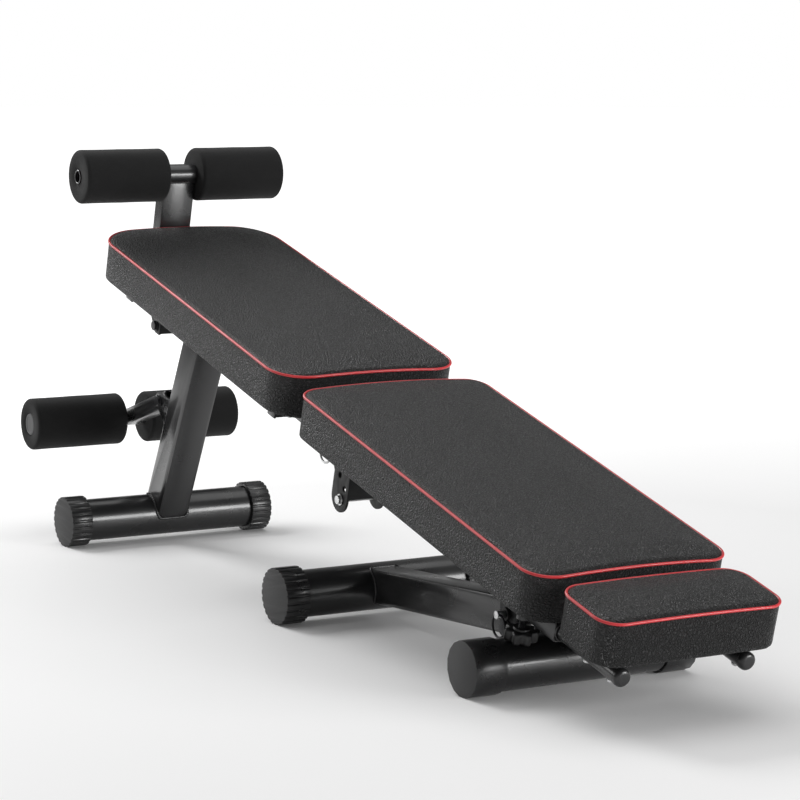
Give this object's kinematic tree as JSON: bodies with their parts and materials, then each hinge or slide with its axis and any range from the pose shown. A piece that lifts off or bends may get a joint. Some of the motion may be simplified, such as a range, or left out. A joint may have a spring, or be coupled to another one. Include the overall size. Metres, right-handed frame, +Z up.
{
  "type": "decline sit up bench",
  "caption": "Decline exercise bench with seat, tilting back and sliding head pads, foam roller pairs on an upper post and lower arm, and a T-shaped leg that swings down.",
  "frame": {"origin": "on the floor, at the centre of the footprint's bounding box", "axes": "+X along the bench towards the lower head end, +Y across it, +Z up; the bench is mirrored about Y=0 apart from small fittings"},
  "size_m": [1.4914, 0.327, 0.5746],
  "materials": {
    "black_paint": "gloss",
    "cap_plastic": "satin",
    "roller_foam": "matte",
    "leatherette": "satin",
    "plywood": "matte",
    "zinc": "satin",
    "plug_plastic": "matte",
    "knob_plastic": "satin",
    "dust_cloth": "matte",
    "red_piping": "satin"
  },
  "bodies": {
    "root": {"rear_foot_tube": "black_paint", "rear_foot_cap_left": "cap_plastic", "rear_foot_cap_right": "cap_plastic", "rear_post": "black_paint", "main_beam": "black_paint", "beam_end_plug": "cap_plastic", "front_foot_tube": "black_paint", "front_foot_cap_left": "cap_plastic", "front_foot_cap_right": "cap_plastic", "post_bracket": "black_paint", "post_bracket_bolt": "black_paint", "seat_bar_rear": "black_paint", "seat_bar_front": "black_paint", "seat_board": "plywood", "seat_pad": "leatherette", "index_bracket": "black_paint", "index_bracket_bolt": "zinc", "back_hinge_bolt": "zinc", "leg_bracket": "black_paint", "leg_pivot_bolt": "black_paint", "arm_clevis": "black_paint", "arm_pivot_bolt": "black_paint"},
    "upper_post": {"upper_post": "black_paint", "upper_axle": "black_paint", "upper_axle_sleeve": "black_paint"},
    "upper_roller_left": {"upper_roller_left": "roller_foam"},
    "upper_roller_right": {"upper_roller_right": "roller_foam"},
    "post_knob": {"post_knob": "knob_plastic"},
    "lower_arm": {"lower_arm": "black_paint", "lower_axle": "black_paint", "lower_axle_plug_left": "plug_plastic", "lower_axle_plug_right": "plug_plastic"},
    "lower_roller_left": {"lower_roller_left": "roller_foam"},
    "lower_roller_right": {"lower_roller_right": "roller_foam"},
    "back_rest": {"back_rail_left": "black_paint", "back_rail_right": "black_paint", "back_bar_rear": "black_paint", "back_bar_front": "black_paint", "pin_lever": "black_paint", "hinge_arm": "black_paint", "back_board": "plywood", "back_pad": "leatherette", "knob_nut": "black_paint"},
    "back_pin": {"back_pin": "zinc"},
    "back_ring": {"back_ring": "zinc"},
    "head_rest": {"head_rod_left": "black_paint", "head_rod_right": "black_paint", "head_rod_cap_left": "cap_plastic", "head_rod_cap_right": "cap_plastic", "head_board": "plywood", "head_pad": "leatherette"},
    "head_knob": {"head_knob": "knob_plastic"},
    "leg": {"leg_beam": "black_paint", "leg_sleeve": "black_paint", "mid_foot_tube": "black_paint", "mid_foot_cap_left": "cap_plastic", "mid_foot_cap_right": "cap_plastic"},
    "leg_pin": {"leg_pin": "zinc"},
    "leg_ring": {"leg_ring": "black_paint"}
  },
  "joints": [
    {"name": "upper_post_height", "type": "slide", "parent": "root", "child": "upper_post", "axis": [0.2554, 0, 0.9668], "range_m": [-0.025, 0.025]},
    {"name": "post_knob_turn", "type": "hinge", "parent": "root", "child": "post_knob", "pos_m": [-0.60915, 0, 0.37928], "axis": [0.9668, 0, -0.2554], "continuous": true},
    {"name": "upper_roller_left_spin", "type": "hinge", "parent": "upper_post", "child": "upper_roller_left", "pos_m": [-0.53819, -0.09, 0.53667], "axis": [0, 1, 0], "continuous": true},
    {"name": "upper_roller_right_spin", "type": "hinge", "parent": "upper_post", "child": "upper_roller_right", "pos_m": [-0.53819, 0.09, 0.53667], "axis": [0, 1, 0], "continuous": true},
    {"name": "lower_arm_swing", "type": "hinge", "parent": "root", "child": "lower_arm", "pos_m": [-0.57068, 0, 0.207], "axis": [0, 1, 0], "range_deg": [-35, 45]},
    {"name": "lower_roller_left_spin", "type": "hinge", "parent": "lower_arm", "child": "lower_roller_left", "pos_m": [-0.70768, -0.092, 0.1654], "axis": [0, 1, 0], "continuous": true},
    {"name": "lower_roller_right_spin", "type": "hinge", "parent": "lower_arm", "child": "lower_roller_right", "pos_m": [-0.70768, 0.092, 0.1654], "axis": [0, 1, 0], "continuous": true},
    {"name": "back_rest_tilt", "type": "hinge", "parent": "root", "child": "back_rest", "pos_m": [0.09401, 0, 0.22204], "axis": [0, -1, 0], "range_deg": [0, 35]},
    {"name": "back_pin_pull", "type": "slide", "parent": "back_rest", "child": "back_pin", "axis": [0, -1, 0], "range_m": [0, 0.01], "stiffness_N_per_m": 800},
    {"name": "back_ring_swing", "type": "hinge", "parent": "back_pin", "child": "back_ring", "pos_m": [-0.01074, -0.044, 0.21704], "axis": [-1, 0, 0], "range_deg": [-10, 80]},
    {"name": "head_rest_slide", "type": "slide", "parent": "back_rest", "child": "head_rest", "axis": [0.9668, 0, -0.2554], "range_m": [-0.012, 0.08]},
    {"name": "head_knob_turn", "type": "hinge", "parent": "back_rest", "child": "head_knob", "pos_m": [0.5205, -0.082, 0.07461], "axis": [0.2554, 0, 0.9668], "continuous": true},
    {"name": "leg_swing", "type": "hinge", "parent": "root", "child": "leg", "pos_m": [0.40282, 0, 0.048], "axis": [0, 1, 0], "range_deg": [-72, 15]},
    {"name": "leg_pin_pull", "type": "slide", "parent": "root", "child": "leg_pin", "axis": [0, -1, 0], "range_m": [0, 0.01], "stiffness_N_per_m": 800},
    {"name": "leg_ring_swing", "type": "hinge", "parent": "leg_pin", "child": "leg_ring", "pos_m": [0.40682, -0.0411, 0.06596], "axis": [-1, 0, 0], "range_deg": [-10, 80]}
  ]
}
